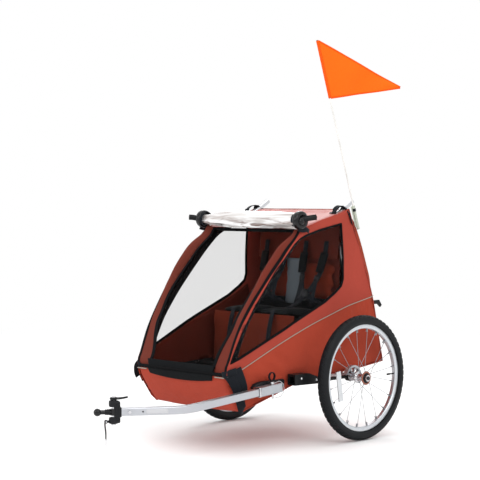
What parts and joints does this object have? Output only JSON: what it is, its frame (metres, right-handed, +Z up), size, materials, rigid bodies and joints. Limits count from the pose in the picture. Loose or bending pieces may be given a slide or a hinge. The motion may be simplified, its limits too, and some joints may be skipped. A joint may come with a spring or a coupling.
{
  "type": "child bicycle trailer",
  "caption": "Two-seat child bicycle trailer with folding frame, coral fabric cabin, spoked 20 inch wheels, side tow arm with ball hitch, and safety flag.",
  "frame": {"origin": "on the ground, below the middle of the overall box", "axes": "+Z up; -Y is the direction of travel, towards the hitch; +X is the trailer's left, the tow arm side"},
  "size_m": [0.824, 1.4218, 1.5865],
  "materials": {
    "coral_fabric": "woven ripstop, matt",
    "dark_mesh": "open mesh, matt",
    "black_fabric": "webbing and woven nylon",
    "clear_film": "clear flexible film, glossy",
    "flag_orange": "coated nylon",
    "bare_aluminium": "satin anodised",
    "silver_casting": "as cast, fine grain",
    "steel": "zinc plated",
    "spoke_steel": "bright",
    "black_plastic": "moulded, fine grain",
    "black_casting": "black powder coat",
    "tyre_rubber": "moulded tread",
    "tube_rubber": "smooth",
    "reflector_white": "prismatic white",
    "pole_plastic": "pale glass fibre"
  },
  "bodies": {
    "chassis": {"belly_tub": "coral_fabric", "floor_panel": "black_plastic", "side_panels": "coral_fabric", "side_windows": "clear_film", "front_cover": "dark_mesh", "rear_panel": "coral_fabric", "seat_base": "coral_fabric", "seat_back": "coral_fabric", "harness_straps": "black_fabric", "harness_buckles": "black_plastic", "corner_straps": "black_fabric", "chassis_tubes": "bare_aluminium", "axle_tube": "bare_aluminium", "axle_saddles": "black_plastic", "frame_pivot_brackets": "steel", "frame_pivot_bolts": "steel", "stub_axles": "steel", "wheel_mounts": "silver_casting", "side_guards": "black_plastic", "arm_receiver": "bare_aluminium", "receiver_brackets": "steel", "tow_arm": "bare_aluminium", "tow_pin": "steel", "pin_pull_loop": "black_fabric", "hitch_head": "black_casting", "hitch_kingpin": "steel", "hitch_fasteners": "steel"},
    "roof_frame": {"roof_tubes": "bare_aluminium", "pivot_knuckles": "black_plastic", "roof_front_crossbar": "bare_aluminium", "roof_panel": "coral_fabric", "rain_cover_roll": "clear_film", "roll_end_straps": "black_plastic", "grab_loops": "black_fabric", "flag_pocket": "black_fabric"},
    "rear_hoop": {"rear_hoop_tubes": "bare_aluminium", "hoop_feet": "black_plastic", "rear_hooks": "black_plastic"},
    "flag_unit": {"flag_pole": "pole_plastic", "flag": "flag_orange"},
    "pin_ring": {"pin_spring_ring": "steel"},
    "hitch_swivel": {"hitch_ball": "black_casting"},
    "lock_lever": {"hitch_lock_lever": "black_plastic"},
    "tether": {"safety_strap": "black_fabric"},
    "left_wheel": {"left_tyre": "tyre_rubber", "left_inner_tube": "tube_rubber", "left_rim": "bare_aluminium", "left_hub": "silver_casting", "left_hub_bearings": "steel", "left_spokes": "spoke_steel", "left_wheel_reflector": "reflector_white"},
    "left_button": {"left_release_button": "black_plastic"},
    "right_wheel": {"right_tyre": "tyre_rubber", "right_inner_tube": "tube_rubber", "right_rim": "bare_aluminium", "right_hub": "silver_casting", "right_hub_bearings": "steel", "right_spokes": "spoke_steel", "right_wheel_reflector": "reflector_white"},
    "right_button": {"right_release_button": "black_plastic"}
  },
  "joints": [
    {"name": "left_wheel_spin", "type": "hinge", "parent": "chassis", "child": "left_wheel", "pos_m": [0.376, 0.45133, 0.25], "axis": [1, 0, 0], "continuous": true},
    {"name": "right_wheel_spin", "type": "hinge", "parent": "chassis", "child": "right_wheel", "pos_m": [-0.376, 0.45133, 0.25], "axis": [1, 0, 0], "continuous": true},
    {"name": "left_button_press", "type": "slide", "parent": "chassis", "child": "left_button", "axis": [-1, 0, 0], "range_m": [0, 0.003], "stiffness_N_per_m": 500},
    {"name": "right_button_press", "type": "slide", "parent": "chassis", "child": "right_button", "axis": [1, 0, 0], "range_m": [0, 0.003], "stiffness_N_per_m": 500},
    {"name": "roof_fold", "type": "hinge", "parent": "chassis", "child": "roof_frame", "pos_m": [0, -0.13867, 0.302], "axis": [-1, 0, 0], "range_deg": [0, 43], "deforming": ["side_panels", "side_windows", "front_cover", "rear_panel", "seat_back", "harness_straps", "harness_buckles", "seat_base"]},
    {"name": "hoop_fold", "type": "hinge", "parent": "chassis", "child": "rear_hoop", "pos_m": [0, 0.61633, 0.322], "axis": [1, 0, 0], "range_deg": [0, 75]},
    {"name": "flag_pull", "type": "slide", "parent": "roof_frame", "child": "flag_unit", "axis": [0, -0.3174, 0.9483], "range_m": [0, 0.09]},
    {"name": "ring_swing", "type": "hinge", "parent": "chassis", "child": "pin_ring", "pos_m": [0.3, 0.01565, 0.26083], "axis": [1, 0, 0], "range_deg": [0, 90]},
    {"name": "hitch_yaw", "type": "hinge", "parent": "chassis", "child": "hitch_swivel", "pos_m": [0.15707, -0.64816, 0.203], "axis": [0, 0, 1], "range_deg": [-45, 45]},
    {"name": "lever_turn", "type": "hinge", "parent": "chassis", "child": "lock_lever", "pos_m": [0.15707, -0.64816, 0.251], "axis": [0, 0, 1], "range_deg": [0, 90]},
    {"name": "tether_swing", "type": "hinge", "parent": "chassis", "child": "tether", "pos_m": [0.14243, -0.67084, 0.169], "axis": [-0.8402, 0.5422, 0], "range_deg": [0, 80]}
  ],
  "couplings": [
    {"joint": "hoop_fold", "follows": "roof_fold", "ratio": 1.744}
  ]
}
